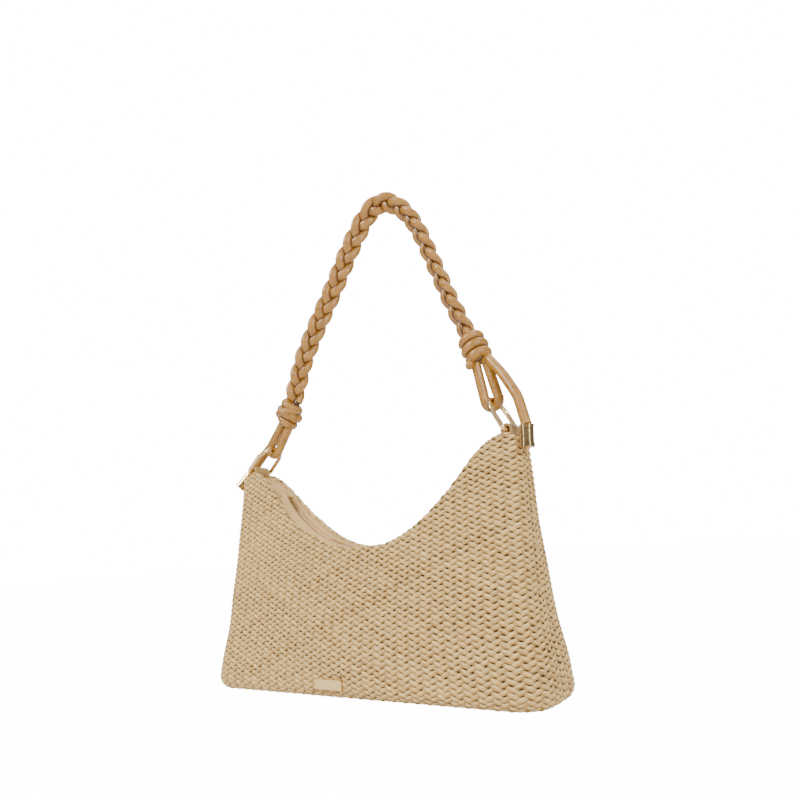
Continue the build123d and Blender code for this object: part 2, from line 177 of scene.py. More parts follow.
def hermite(xk, yk, x):
    xk, yk = np.asarray(xk, float), np.asarray(yk, float)
    d = np.gradient(yk, xk)
    i = np.clip(np.searchsorted(xk, x, side="right") - 1, 0, len(xk) - 2)
    h = xk[i + 1] - xk[i]
    t = (x - xk[i]) / h
    h00, h10, h01, h11 = 2*t**3-3*t**2+1, t**3-2*t**2+t, -2*t**3+3*t**2, t**3-t**2
    y = h00 * yk[i] + h10 * h * d[i] + h01 * yk[i + 1] + h11 * h * d[i + 1]
    y = np.where(x < xk[0], yk[0] + d[0] * (x - xk[0]), y)
    return np.where(x > xk[-1], yk[-1] + d[-1] * (x - xk[-1]), y)


def smooth_path(points, step=0.8):
    p = np.asarray(points, float)
    d = np.concatenate([[0], np.cumsum(np.linalg.norm(np.diff(p, axis=0), axis=1))])
    s = np.linspace(0, d[-1], max(8, int(d[-1] / step)))
    return np.stack([hermite(d, p[:, i], s) for i in range(p.shape[1])], 1)


# ------------------------------------------------------------- bag surface
SEC_Z = [9, 24, 45, 75, 105, 140, 176]
SEC_L = [278, 274.5, 268, 265, 259.5, 254, 250]
SEC_D = [69, 65.5, 58, 47, 37, 27.5, 19]
SEC_R = [25, 24, 21, 17, 12, 6.5, 3.0]          # corner radius at the right end
SEC_RL = [16, 17, 17, 14, 10.5, 6.5, 3.0]       # and at the squarer left end
SEC_X = [-1.6, -1.7, -2.4, -3.0, -2.2, -0.8, 0.6]
SCOOP = [(0, 100.0), (24, 102.5), (42, 109.5), (60, 121.5), (72, 132.0), (84, 145.0), (93, 155.0),
         (103, 162.8), (114, 166.8), (120, 166.6), (126, 163.2), (134, 157.0)]
SX, SZ = [p[0] for p in SCOOP], [p[1] for p in SCOOP]
ZC, ZR = 197.5, 97.0


def edge_z(x, back=False):
    """Height of the top edge. The standing bag slumps a little: its edges aren't level with each other."""
    z = hermite(SX, SZ, np.clip(np.abs(x), 0, 133.9))
    if back:
        return z + 0.8 * np.exp(-((x + 68) / 20.0) ** 2)
    return z - 3.5 * np.exp(-((x + 68) / 13.0) ** 2) + 1.4 * np.exp(-((x + 112) / 12.0) ** 2) + 1.8 * np.exp(-((x - 70) / 24.0) ** 2)


def sag(s, v, back):
    """Soft, uneven shape of the standing bag, in mm along the outward normal."""
    f = 1.0 if not back else -1.0
    a = 1.5 * np.sin(s / 41.0 + 0.7 * f) * np.sin(v / 37.0 + 0.4)
    a += 0.9 * np.sin(s / 19.0 + 1.3 * f + v / 30.0) * np.clip((150 - v) / 90, 0.15, 1)
    a += 1.2 * np.exp(-((v - 30) / 26.0) ** 2) * (1 + 0.4 * np.sin(s / 30.0 * f + 2.0))
    a -= 1.3 * np.exp(-((v - 92) / 22.0) ** 2) * np.exp(-(s / 70.0) ** 2)
    a += 0.35 * np.sin(s / 7.3 + 2.0 * f) * np.sin(v / 8.1)
    a = a * np.clip((v + 2) / 12.0, 0, 1) * np.clip((156 - np.abs(s)) / 34.0, 0, 1)
    if not back:
        # the plate presses the weave flat behind it
        near = np.exp(-(np.maximum(np.abs(s + 20.2) - 11, 0) / 5.0) ** 2 - (np.maximum(np.abs(v - 9.8) - 3, 0) / 4.0) ** 2)
        a = a * (1 - near) - 0.25 * near
    return a


def section(v, left=False):
    v = np.asarray(v, float)
    zz = np.clip(v, 9, 400)
    L, D = hermite(SEC_Z, SEC_L, zz), hermite(SEC_Z, SEC_D, zz)
    R = np.where(left, hermite(SEC_Z, SEC_RL, zz), hermite(SEC_Z, SEC_R, zz))
    R = np.maximum(R, 2.4)
    th = np.clip((9 - v) / 9.0, 0, np.pi / 2)
    inset = 9 * (1 - np.cos(th))
    z = np.where(v < 9, 9 - 9 * np.sin(th), v)
    return L - 2 * inset, D - 2 * inset, np.maximum(R - inset, 2.4), z


def half_length(v, left=False):
    L, D, R, z = section(v, left)
    return (L / 2 - R + np.pi * R / 2 + D / 2 - R) / (L / 272.0)


def raw_surface(s, v, off, back):
    L, D, R, z = section(v, np.asarray(s) < 0)
    a, b = L / 2, D / 2
    q = np.abs(s) * L / 272.0
    l1, l2 = a - R, np.pi * R / 2
    th = np.clip((q - l1) / R, 0, np.pi / 2)
    x = np.where(q < l1, q, a - R + R * np.sin(th))
    y = np.where(q < l1, -b, -(b - R) - R * np.cos(th))
    y = y + np.maximum(q - l1 - l2, 0)
    nx, ny = np.sin(th), -np.cos(th)
    x, y = x + nx * off, y + ny * off
    x = x * np.sign(s + 1e-12) + hermite(SEC_Z, SEC_X, np.clip(v, 9, 176))
    if back:
        y = -y
    return np.stack([x, y, z + 0 * x], -1)


def surface(s, v, off=0.0, back=False, lip=True):
    """Point on the woven wall: s round the bag from the middle, v up it. Past the top edge the wall folds inwards."""
    s, v = np.asarray(s, float), np.asarray(v, float)
    off = off + sag(s, v, back) - 0.7
    if lip:
        x0 = raw_surface(s, v, 0.0, back)[..., 0]
        top = edge_z(x0, back)
        over = np.maximum(v - top, 0) * 0.85
        vv = np.minimum(v, top)
        p = raw_surface(s, vv, off, back)
        rr = 1.7
        th = np.clip(over / rr, 0, np.pi)
        inward = rr * (1 - np.cos(th))
        rise = rr * np.sin(th) - np.maximum(over - np.pi * rr, 0)
        p2 = raw_surface(s, vv, off - inward, back)
        p2[..., 2] += rise
        return np.where((over > 0)[..., None], p2, p)
    return raw_surface(s, v, off, back)


def surface_frame(s, v, back):
    e = 0.25
    ds = surface(s + e, v, 0, back) - surface(s - e, v, 0, back)
    dv = surface(s, v + e, 0, back) - surface(s, v - e, 0, back)
    n = np.cross(ds, dv)
    if back:
        n = -n
    return unit_rows(n)


COL, ROW = 4.5, 2.02
STRETCH = 0.0007                    # the columns open out a little towards one end
SLOPE = ROW / COL
LIFT = 0.62


def weave_family(direction, back, name):
    """All strands leaning one way over half the bag, from the side seam round the front or back to the other seam."""
    tubes = Tubes()
    c_low, c_high = -9.0 - 160 * SLOPE, 178.0 + 160 * SLOPE
    m0, m1 = int(c_low / (2 * ROW)) - 1, int(c_high / (2 * ROW)) + 1
    for m_i in range(m0, m1):
        c = 2 * ROW * m_i + (0.0 if direction > 0 else 0.0)
        s = np.arange(-162, 162.01, 1.2)
        lat = np.log1p(STRETCH * s) / STRETCH       # lattice coordinate along the bag
        wob = 0.16 * np.sin(s / 13.0 + m_i * 1.7) + 0.10 * np.sin(s / 5.3 + m_i * 2.9)
        v = c + direction * SLOPE * lat + wob
        squeeze = np.where(v < 12, 12 + (v - 12) * 0.92, v)
        v = squeeze
        seam = half_length(np.clip(v, -5.1, 176), s < 0)
        x0 = raw_surface(s, np.clip(v, -5, 176), 0, back)[..., 0]
        inside = (np.abs(s) < seam + 1.2) & (v > -5.0) & (v < edge_z(x0, back) + 9.5)
        idx = np.flatnonzero(inside)
        if len(idx) < 5:
            continue
        for run in np.split(idx, np.flatnonzero(np.diff(idx) > 1) + 1):
            if len(run) < 5:
                continue
            ss, vv, ll = s[run], v[run], lat[run]
            # crossings lie every COL along s; rising strands lie on top at every other one
            phase = ll / COL
            lift = LIFT * np.cos(np.pi * phase) * direction
            n = surface_frame(ss, vv, back)
            p = surface(ss, vv, 0, back) + n * lift[:, None]
            t = unit_rows(np.gradient(p, axis=0))
            w = unit_rows(np.cross(n, t))
            up = np.cross(t, w)
            width = 3.15 * (1 + 0.06 * RNG.standard_normal()) * (1 + 0.05 * np.sin(ss / 6.0 + m_i))
            thick = 0.95
            prof = np.array([(-0.5, -0.1), (-0.33, 0.42), (0.0, 0.66), (0.33, 0.42), (0.5, -0.1), (0.0, -0.45)])
            roll = 0.10 * np.sin(ss / 9.0 + 3 * m_i) + 0.05 * RNG.standard_normal()
            wr = w * np.cos(roll)[:, None] + up * np.sin(roll)[:, None]
            ur = up * np.cos(roll)[:, None] - w * np.sin(roll)[:, None]
            rings = p[:, None, :] + prof[None, :, 0, None] * (width[:, None] * wr)[:, None, :] + prof[None, :, 1, None] * thick * ur[:, None, :]
            rings[..., 2] = np.maximum(rings[..., 2], 0.05)      # pressed flat where the bag stands
            along = np.repeat(ss[:, None] * 1.08, 6, 1)
            across = np.repeat(prof[None, :, 0] * 2.8, len(ss), 0)
            # how far each strip of the strand sits towards its lower edge, +1 there and -1 at the upper edge: the straw
            # material paints shade along the lower edge and a highlight along the upper
            low_side = np.sign((w[:, 2] * -1.0).mean() + 1e-9)
            rim = np.repeat(np.clip(prof[None, :, 0] * 2 * low_side, -1, 1), len(ss), 0)
            tubes.add(rings, along=along + 37.0 * m_i, across=across + 11.0 * m_i, tone=0.5 + 0.16 * RNG.standard_normal(),
                      depth=np.repeat((lift / LIFT)[:, None], 6, 1), rim=rim)
    return tubes.build(name)


# -------------------------------------------------------------- materials
def nodes_of(name):
    mat = bpy.data.materials.new(name)
    mat.use_nodes = True
    nt = mat.node_tree
    return mat, nt, nt.nodes["Principled BSDF"]


def attr(nt, name):
    n = nt.nodes.new("ShaderNodeAttribute")
    n.attribute_name = name
    return n.outputs["Fac"]


def math_node(nt, op, a, b=None, c=None):
    n = nt.nodes.new("ShaderNodeMath")
    n.operation = op
    for i, val in enumerate((a, b, c)):
        if val is None:
            continue
        if isinstance(val, (int, float)):
            n.inputs[i].default_value = val
        else:
            nt.links.new(val, n.inputs[i])
    return n.outputs[0]


def ramp(nt, fac, stops):
    n = nt.nodes.new("ShaderNodeValToRGB")
    e = n.color_ramp.elements
    while len(e) < len(stops):
        e.new(0.5)
    for i, (pos, col) in enumerate(stops):
        e[i].position = pos
        e[i].color = (*col, 1)
    nt.links.new(fac, n.inputs[0])
    return n.outputs[0]


def mix(nt, fac, a, b, mode="MIX"):
    n = nt.nodes.new("ShaderNodeMix")
    n.data_type = "RGBA"
    n.blend_type = mode
    for sock, val in ((n.inputs[0], fac), (n.inputs[6], a), (n.inputs[7], b)):
        if isinstance(val, (int, float)):
            sock.default_value = val
        elif isinstance(val, tuple):
            sock.default_value = (*val, 1)
        else:
            nt.links.new(val, sock)
    return n.outputs[2]


def combine(nt, x, y, z=0.0):
    n = nt.nodes.new("ShaderNodeCombineXYZ")
    for i, val in enumerate((x, y, z)):
        if isinstance(val, (int, float)):
            n.inputs[i].default_value = val
        else:
            nt.links.new(val, n.inputs[i])
    return n.outputs[0]


def noise(nt, vec, scale, detail=3.0, rough=0.55):
    n = nt.nodes.new("ShaderNodeTexNoise")
    n.inputs["Scale"].default_value = scale
    n.inputs["Detail"].default_value = detail
    n.inputs["Roughness"].default_value = rough
    if vec is not None:
        nt.links.new(vec, n.inputs["Vector"])
    return n.outputs["Fac"]


def obj_coord(nt):
    return nt.nodes.new("ShaderNodeTexCoord").outputs["Object"]


def bump(nt, height, strength, distance, normal=None):
    n = nt.nodes.new("ShaderNodeBump")
    n.inputs["Strength"].default_value = strength
    n.inputs["Distance"].default_value = distance
    nt.links.new(height, n.inputs["Height"])
    if normal is not None:
        nt.links.new(normal, n.inputs["Normal"])
    return n.outputs["Normal"]


def srgb(h):
    out = []
    for i in (0, 2, 4):
        c = int(h[i:i + 2], 16) / 255
        out.append(c / 12.92 if c <= 0.04045 else ((c + 0.055) / 1.055) ** 2.4)
    return tuple(out)


def straw_material():
    mat, nt, bsdf = nodes_of("straw")
    along, across, tone = attr(nt, "along"), attr(nt, "across"), attr(nt, "tone")
    vec = combine(nt, math_node(nt, "MULTIPLY", along, 0.09), math_node(nt, "MULTIPLY", across, 3.2), tone)
    fibre = noise(nt, vec, 1.0, 4.0, 0.6)
    vec2 = combine(nt, math_node(nt, "MULTIPLY", along, 0.25), math_node(nt, "MULTIPLY", across, 0.5), tone)
    blotch = noise(nt, vec2, 1.0, 2.0, 0.5)
    t = math_node(nt, "ADD", math_node(nt, "MULTIPLY", tone, 0.45),
                  math_node(nt, "ADD", math_node(nt, "MULTIPLY", fibre, 0.80), math_node(nt, "MULTIPLY", blotch, 0.50)))
    t = math_node(nt, "SUBTRACT", t, 0.38)
    base = ramp(nt, t, [(0.0, srgb("7a5924")), (0.28, srgb("b38945")), (0.6, srgb("d8ae60")), (1.0, srgb("fbd88e"))])
    # painted shade: strands darken where they dive under a neighbour
    depth = attr(nt, "depth")
    rim = attr(nt, "rim")
    # painted shade mask: 0 on the crown of a float, 1 in the crevice at its ends and along its lower edge
    ends = math_node(nt, "MULTIPLY_ADD", depth, -0.5, 0.5)
    edge = math_node(nt, "POWER", math_node(nt, "MAXIMUM", rim, 0.0), 1.6)
    crev = math_node(nt, "MINIMUM", math_node(nt, "ADD", math_node(nt, "MULTIPLY", math_node(nt, "POWER", ends, 1.4), 0.62),
                                              math_node(nt, "MULTIPLY", edge, 0.55)), 1.0)
    # painted highlight: the upper edge of each float, away from its ends, is mixed towards pale straw
    crown = math_node(nt, "MULTIPLY", math_node(nt, "MAXIMUM", math_node(nt, "MULTIPLY", rim, -1.0), 0.0), math_node(nt, "SUBTRACT", 1.0, ends))
    base = mix(nt, math_node(nt, "MULTIPLY", crown, 0.55), base, srgb("ffe6a8"))
    # painted shade: the crevice mask multiplies the straw colour towards dark brown
    col = mix(nt, crev, base, mix(nt, 1.0, base, (0.17, 0.14, 0.09), "MULTIPLY"))
    nt.links.new(col, bsdf.inputs["Base Color"])
    bsdf.inputs["Roughness"].default_value = 0.52
    bsdf.inputs["Specular IOR Level"].default_value = 0.45
    bsdf.inputs["Sheen Weight"].default_value = 0.08
    nt.links.new(bump(nt, fibre, 0.55, 0.0005), bsdf.inputs["Normal"])
    return mat


def cloth_material(name, light, dark, thread=0.00042, rough=0.85, strength=0.5):
    mat, nt, bsdf = nodes_of(name)
    oc = obj_coord(nt)
    def wave(direction):
        w = nt.nodes.new("ShaderNodeTexWave")
        w.wave_type = "BANDS"
        w.bands_direction = direction
        w.inputs["Scale"].default_value = 0.314 / thread / 2
        w.inputs["Distortion"].default_value = 0.6
        w.inputs["Detail"].default_value = 1.0
        nt.links.new(oc, w.inputs["Vector"])
        return w.outputs["Fac"]
    weave = math_node(nt, "MULTIPLY", wave("X"), wave("Z"))
    blot = noise(nt, oc, 90.0, 4.0)
    fac = math_node(nt, "MULTIPLY_ADD", weave, 0.35, math_node(nt, "MULTIPLY", blot, 0.65))
    nt.links.new(ramp(nt, fac, [(0.15, dark), (0.8, light)]), bsdf.inputs["Base Color"])
    bsdf.inputs["Roughness"].default_value = rough
    bsdf.inputs["Specular IOR Level"].default_value = 0.2
    nt.links.new(bump(nt, weave, strength, 0.0002), bsdf.inputs["Normal"])
    return mat


def leather_material(name, dark, mid, light, rough=0.42, fine=2600.0):
    mat, nt, bsdf = nodes_of(name)
    oc = obj_coord(nt)
    vor = nt.nodes.new("ShaderNodeTexVoronoi")
    vor.feature = "DISTANCE_TO_EDGE"
    vor.inputs["Scale"].default_value = fine
    nt.links.new(oc, vor.inputs["Vector"])
    blot = noise(nt, oc, 160.0, 5.0, 0.6)
    blot2 = noise(nt, oc, 1500.0, 3.0, 0.6)
    fac = math_node(nt, "MULTIPLY_ADD", blot2, 0.4, math_node(nt, "MULTIPLY", blot, 0.6))
    base = ramp(nt, fac, [(0.25, dark), (0.5, mid), (0.78, light)])
    # painted shade: the leather is darker where cords are pressed together
    base = mix(nt, attr(nt, "crev"), base, mix(nt, 1.0, base, (0.26, 0.16, 0.07), "MULTIPLY"))
    nt.links.new(base, bsdf.inputs["Base Color"])
    nt.links.new(math_node(nt, "MULTIPLY_ADD", blot, 0.25, rough - 0.12), bsdf.inputs["Roughness"])
    bsdf.inputs["Specular IOR Level"].default_value = 0.5
    bsdf.inputs["Coat Weight"].default_value = 0.28
    bsdf.inputs["Coat Roughness"].default_value = 0.22
    h = math_node(nt, "ADD", math_node(nt, "MULTIPLY", vor.outputs["Distance"], 1.2), math_node(nt, "MULTIPLY", blot2, 0.6))
    nt.links.new(bump(nt, h, 0.35, 0.0003), bsdf.inputs["Normal"])
    return mat


def metal_material(name, col, rough=0.14):
    mat, nt, bsdf = nodes_of(name)
    oc = obj_coord(nt)
    n1 = noise(nt, oc, 400.0, 4.0)
    n2 = noise(nt, oc, 3000.0, 2.0)
    dark = tuple(c * 0.86 for c in col)
    nt.links.new(ramp(nt, n1, [(0.3, dark), (0.7, col)]), bsdf.inputs["Base Color"])
    bsdf.inputs["Metallic"].default_value = 1.0
    nt.links.new(math_node(nt, "MULTIPLY_ADD", n1, 0.12, rough - 0.04), bsdf.inputs["Roughness"])
    nt.links.new(bump(nt, n2, 0.04, 0.0001), bsdf.inputs["Normal"])
    return mat


STRAW = straw_material()
CLOTH = cloth_material("facing_cloth", srgb("dab980"), srgb("c09c5e"))
TAPE = cloth_material("tape_cloth", srgb("dcbb84"), srgb("c29f63"), thread=0.0005)
LINING = cloth_material("lining_cloth", srgb("9a7338"), srgb("7d5a28"), strength=0.3)
CORD_M = leather_material("cord_leather", srgb("774e14"), srgb("9f6d20"), srgb("bd8a32"), rough=0.30)
TAB_M = leather_material("tab_leather", srgb("85642f"), srgb("a6854b"), srgb("bd9c61"), rough=0.45)
GOLD = metal_material("gold", (0.86, 0.60, 0.27), rough=0.12)
THREAD = leather_material("thread", srgb("c9ac7e"), srgb("dcc59c"), srgb("ead9b8"), rough=0.7)


def paint(ob, mat):
    ob.data.materials.clear()
    ob.data.materials.append(mat)
    return ob


# ------------------------------------------------------- strap and its ends
CORD, TIE = 5.6, 7.0
STRAP = [(-74.8, 226.0), (-69.5, 240.0), (-60.5, 260.5), (-48.5, 279.5), (-35.5, 298.0), (-22.5, 316.5),
         (-10.0, 335.5), (2.5, 352.0), (13.5, 363.0), (25.0, 366.8), (36.5, 361.5), (48.0, 349.5),
         (57.5, 332.0), (65.5, 311.0), (72.5, 291.0), (80.0, 270.5), (87.5, 252.5), (91.8, 242.5)]
KNOTS = {"left": (-79.5, 216.0, 26.0), "right": (95.5, 232.5, -21.0)}
RING_TOP = {}
for side, sign, lean in (("left", -1, 47.0), ("right", 1, 27.5)):
    a = math.radians(lean)
    RING_TOP[side] = (sign * (117 - 26 * math.sin(a)), 171.5 + 26 * math.cos(a))

TAILS = {
    "right": [(103.5, 0.0, 225.5), (116.0, -4.0, 210.0), (127.2, -8.5, 192.0), (132.2, -10.5, 172.0)],
    "left": [(-88.5, 4.0, 209.0), (-106.5, 8.0, 197.0), (-122.5, 9.0, 185.0), (-134.5, 6.5, 171.5)],
}


def tail_curve(side):
    """The same route as the solid: straight runs and tangent arcs, as a NURBS curve."""
    pts = [Vector(p) for p in TAILS[side]]
    runs = [(pts[i + 1] - pts[i]).length for i in range(len(pts) - 1)]
    out = [(pts[0], 1.0)]
    for i in range(1, len(pts) - 1):
        u, w = (pts[i] - pts[i - 1]).normalized(), (pts[i + 1] - pts[i]).normalized()
        half = math.acos(max(-1, min(1, u.dot(w)))) / 2
        reach = 0.45 * min(runs[i - 1], runs[i])
        out += [(pts[i] - u * reach, 1.0), (pts[i], 1.0), (pts[i] + w * reach, 1.0)]
    out.append((pts[-1], 1.0))
    cu = bpy.data.curves.new("tail_cord_" + side, "CURVE")
    cu.dimensions = "3D"
    sp = cu.splines.new("NURBS")
    sp.points.add(len(out) - 1)
    for k, (p, wgt) in enumerate(out):
        sp.points[k].co = (p.x * MM, p.y * MM, p.z * MM, wgt)
    sp.order_u = 3
    sp.use_endpoint_u = True
    sp.resolution_u = 12
    cu.bevel_depth = TIE / 2 * MM
    cu.bevel_resolution = 5
    cu.use_fill_caps = True
    ob = bpy.data.objects.new("tail_cord_" + side, cu)
    bpy.context.scene.collection.objects.link(ob)
    length = sum(runs)
    return ob, length


for side in ("left", "right"):
    ob, length = tail_curve(side)
    ob.data.materials.append(CORD_M)
    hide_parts("tail_" + side)
    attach(ob, "strap")

# ---- plait: three cords that cross over each other, turning edge-on over the peak
centre = smooth_path([(x, 0.0, z) for x, z in STRAP], 0.45)
tan = unit_rows(np.gradient(centre, axis=0))
n_in = np.stack([-tan[:, 2], 0 * tan[:, 0], tan[:, 0]], 1)
b_out = np.broadcast_to(np.array([0.0, -1.0, 0.0]), tan.shape)
arc = np.concatenate([[0], np.cumsum(np.linalg.norm(np.diff(centre, axis=0), axis=1))])
total = arc[-1]
peak = arc[np.argmax(centre[:, 2])]
twist = np.radians(38 - 9 * (1 / (1 + np.exp(-(arc - peak - 12) / 14.0))))
ax1 = n_in * np.cos(twist)[:, None] + b_out * np.sin(twist)[:, None]
ax2 = -n_in * np.sin(twist)[:, None] + b_out * np.cos(twist)[:, None]
fade = np.clip(0.86 + 0.14 * np.minimum(arc, total - arc) / 9.0, 0.86, 1)
right_part = 1 / (1 + np.exp(-(arc - peak - 12) / 14.0))
wide = 4.75 - 0.55 * right_part
slim = (1 - 0.11 * right_part)[:, None, None]          # pulled a little thinner on the right
PERIOD = 43.0


def crevice(points, centres, r, own=None, skip=0):
    """1 where a point on a cord is pressed against another stretch of cord of radius r, 0 in the open."""
    pts = points.reshape(-1, 3)
    k = points.shape[1]
    best = np.full(len(pts), 99.0)
    for c0 in range(0, len(pts), 4000):
        d = np.linalg.norm(pts[c0:c0 + 4000, None, :] - centres[None, :, :], axis=2)
        if own is not None:
            row = (np.arange(c0, min(c0 + 4000, len(pts))) // k)[:, None]
            d = np.where(np.abs(row - own[None, :]) < skip, 99.0, d)
        best[c0:c0 + 4000] = d.min(1)
    return np.clip((r * 1.42 - best) / (r * 0.40), 0, 1).reshape(points.shape[:2])


plait_paths = []
for k in range(3):
    th = 2 * np.pi * arc / PERIOD + 2 * np.pi * k / 3
    plait_paths.append(centre + ax1 * (wide * np.sin(th) * fade)[:, None] + ax2 * (2.15 * np.sin(2 * th) * fade)[:, None])
for k, path in enumerate(plait_paths):
    tubes = Tubes()
    # each cord flattens where it is pressed between its neighbours
    t = unit_rows(np.gradient(path, axis=0))
    b = unit_rows(ax2 - (ax2 * t).sum(1, keepdims=True) * t)
    c = np.cross(t, b)
    a = np.linspace(0, 2 * np.pi, 16, endpoint=False)
    rings = path[:, None, :] + slim * (3.65 * np.cos(a)[None, :, None] * c[:, None, :] + 2.65 * np.sin(a)[None, :, None] * b[:, None, :])
    others = np.concatenate([plait_paths[(k + 1) % 3][::3], plait_paths[(k + 2) % 3][::3]])
    tubes.add(rings, along=np.repeat(arc[:, None], 16, 1), across=np.repeat((a * 3)[None], len(arc), 0), tone=RNG.random(),
              crev=crevice(rings, others, 3.3))
    ob = tubes.build("plait_cord_" + "abc"[k])
    paint(ob, CORD_M)
    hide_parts("strap_cord_" + "abc"[k])
    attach(ob, "strap")

# ---- knots
def wrap_coil(cen, up, e1, e2, heights, radii, tilt, tilt_dir, step_at):
    """Tight wraps lying on each other; the cord steps from one wrap to the next at one angle round the knot."""
    n = len(heights)
    t = np.linspace(0, 1, 110 * n)
    turn = t * (n - 0.12)
    whole = np.floor(turn)
    frac = turn - whole
    hk = np.array(list(heights) + [heights[-1]])
    i0 = np.clip(whole.astype(int), 0, n - 1)
    blend = np.clip((frac - 0.78) / 0.22, 0, 1)
    blend = blend * blend * (3 - 2 * blend)
    h = hk[i0] + (hk[np.minimum(i0 + 1, n)] - hk[i0]) * blend
    ang = step_at + 2 * np.pi * turn
    tuck = np.clip((0.035 - t) / 0.035, 0, 1) + np.clip((t - 0.965) / 0.035, 0, 1)
    rk = np.array(list(radii) + [radii[-1]])
    rad = rk[i0] + (rk[np.minimum(i0 + 1, n)] - rk[i0]) * blend - 3.2 * tuck
    hh = h + tilt * np.cos(ang - tilt_dir)
    return cen + rad[:, None] * (np.cos(ang)[:, None] * e1 + np.sin(ang)[:, None] * e2) + hh[:, None] * up


for side, (kx, kz, lean) in KNOTS.items():
    a = math.radians(lean)
    up = np.array([math.sin(a), 0, math.cos(a)])
    e1 = np.array([math.cos(a), 0, -math.sin(a)])
    e2 = np.array([0.0, -1.0, 0.0])
    cen = np.array([kx, 0, kz])
    tubes = Tubes()
    core = cen + np.linspace(-10.4, 10.4, 14)[:, None] * up
    # painted shade: the core inside the knot is darkened all over
    tubes.add(tube_rings(core, 6.3 - 1.0 * np.abs(np.linspace(-1, 1, 14)), 20, up=(0, 1, 0)), tone=0.4, crev=np.ones(14))
    u = np.linspace(0, 1, 48)
    if side == "right":
        # three neat wraps, stepping on the far side, and the tucked end below
        path = wrap_coil(cen, up, e1, e2, (-6.6, 0.1, 6.7), (6.4, 6.8, 6.3), 0.7, 0.3, -2.2)
        rings = tube_rings(path, 3.5, 18, up=tuple(up))
        tubes.add(rings, tone=0.5, crev=crevice(rings, path[::2], 3.5, np.arange(0, len(path), 2), 60))
        path2 = cen + (-8.2 + 2.8 * u)[:, None] * e1 + (2.2 + 2.6 * np.sin(np.pi * u))[:, None] * e2 + (-11.0 + 2.0 * u)[:, None] * up
        tubes.add(tube_rings(path2, 3.0 * np.sqrt(np.clip(1 - (2 * u - 1) ** 4, 0.08, 1)), 14, up=tuple(up)), tone=0.6, crev=np.zeros(48))
    else:
        # a ball: two tilted wraps low down, one strand crossing high over them
        path = wrap_coil(cen, up, e1, e2, (-6.2, 0.4, 6.4), (5.0, 7.3, 5.6), 1.8, 2.9, -2.0)
        rings = tube_rings(path, 3.85, 18, up=tuple(up))
        tubes.add(rings, tone=0.5, crev=crevice(rings, path[::2], 3.7, np.arange(0, len(path), 2), 60))
        ang = -0.2 + 3.4 * u
        h2 = 6.5 - 11.5 * u
        r2 = 6.6 + 2.2 * np.sin(np.pi * u)
        path2 = cen + r2[:, None] * (np.cos(ang)[:, None] * e1 + np.sin(ang)[:, None] * e2) + h2[:, None] * up
        tubes.add(tube_rings(path2, 3.3 * np.sqrt(np.clip(1 - (2 * u - 1) ** 8, 0.08, 1)), 16, up=tuple(up)), tone=0.6, crev=np.zeros(48))
    ob = tubes.build("tied_knot_" + side)
    paint(ob, CORD_M)
    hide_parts("knot_" + side)
    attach(ob, "strap")


# ---- loops round the D-rings
def tangent_point(p, c, r, side):
    dx, dz = p[0] - c[0], p[1] - c[1]
    d = math.hypot(dx, dz)
    ang = math.atan2(dz, dx) + side * math.acos(r / d)
    return (c[0] + r * math.cos(ang), c[1] + r * math.sin(ang))


for side, (kx, kz, lean) in KNOTS.items():
    c = RING_TOP[side]
    a = math.radians(lean)
    up2, across2 = (math.sin(a), math.cos(a)), (math.cos(a), -math.sin(a))
    root = (kx - up2[0] * 8.0, kz - up2[1] * 8.0)
    pa = (root[0] - across2[0] * 3.6, root[1] - across2[1] * 3.6)
    pb = (root[0] + across2[0] * 3.6, root[1] + across2[1] * 3.6)
    r = 5.1
    ta, tb = tangent_point(pa, c, r, 1), tangent_point(pb, c, r, -1)
    a0 = math.atan2(ta[1] - c[1], ta[0] - c[0])
    a1 = math.atan2(tb[1] - c[1], tb[0] - c[0])
    mid = math.atan2((root[1] - c[1]), (root[0] - c[0])) + math.pi
    d0 = (a0 - mid) % (2 * math.pi) - 2 * math.pi
    d1 = (a1 - mid) % (2 * math.pi)
    sweep = np.linspace(mid + d0, mid + d1, 30)
    arc_pts = np.stack([c[0] + r * np.cos(sweep), 0 * sweep, c[1] + r * np.sin(sweep)], 1)
    leg_a = np.linspace([pa[0], -0.6, pa[1]], [ta[0], 0, ta[1]], 16)[:-1]
    leg_b = np.linspace([tb[0], 0, tb[1]], [pb[0], 0.6, pb[1]], 16)[1:]
    path = np.concatenate([leg_a, arc_pts, leg_b])
    tubes = Tubes()
    tubes.add(tube_rings(path, 3.45, 16, up=(0, 1, 0)), tone=0.5)
    ob = tubes.build("tie_loop_" + side)
    paint(ob, CORD_M)
    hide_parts("ring_loop_" + side)
    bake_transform(ob)

# -------------------------------------------------------------- woven body
for back in (False, True):
    tag = "back" if back else "front"
    f1 = weave_family(1, back, "straw_rising_" + tag)
    f2 = weave_family(-1, back, "straw_falling_" + tag)
    for ob in (f1, f2):
        paint(ob, STRAW)
        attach(ob, "bag")
    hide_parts(tag + "_panel")
    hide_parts("gusset_left" if back else "gusset_right")

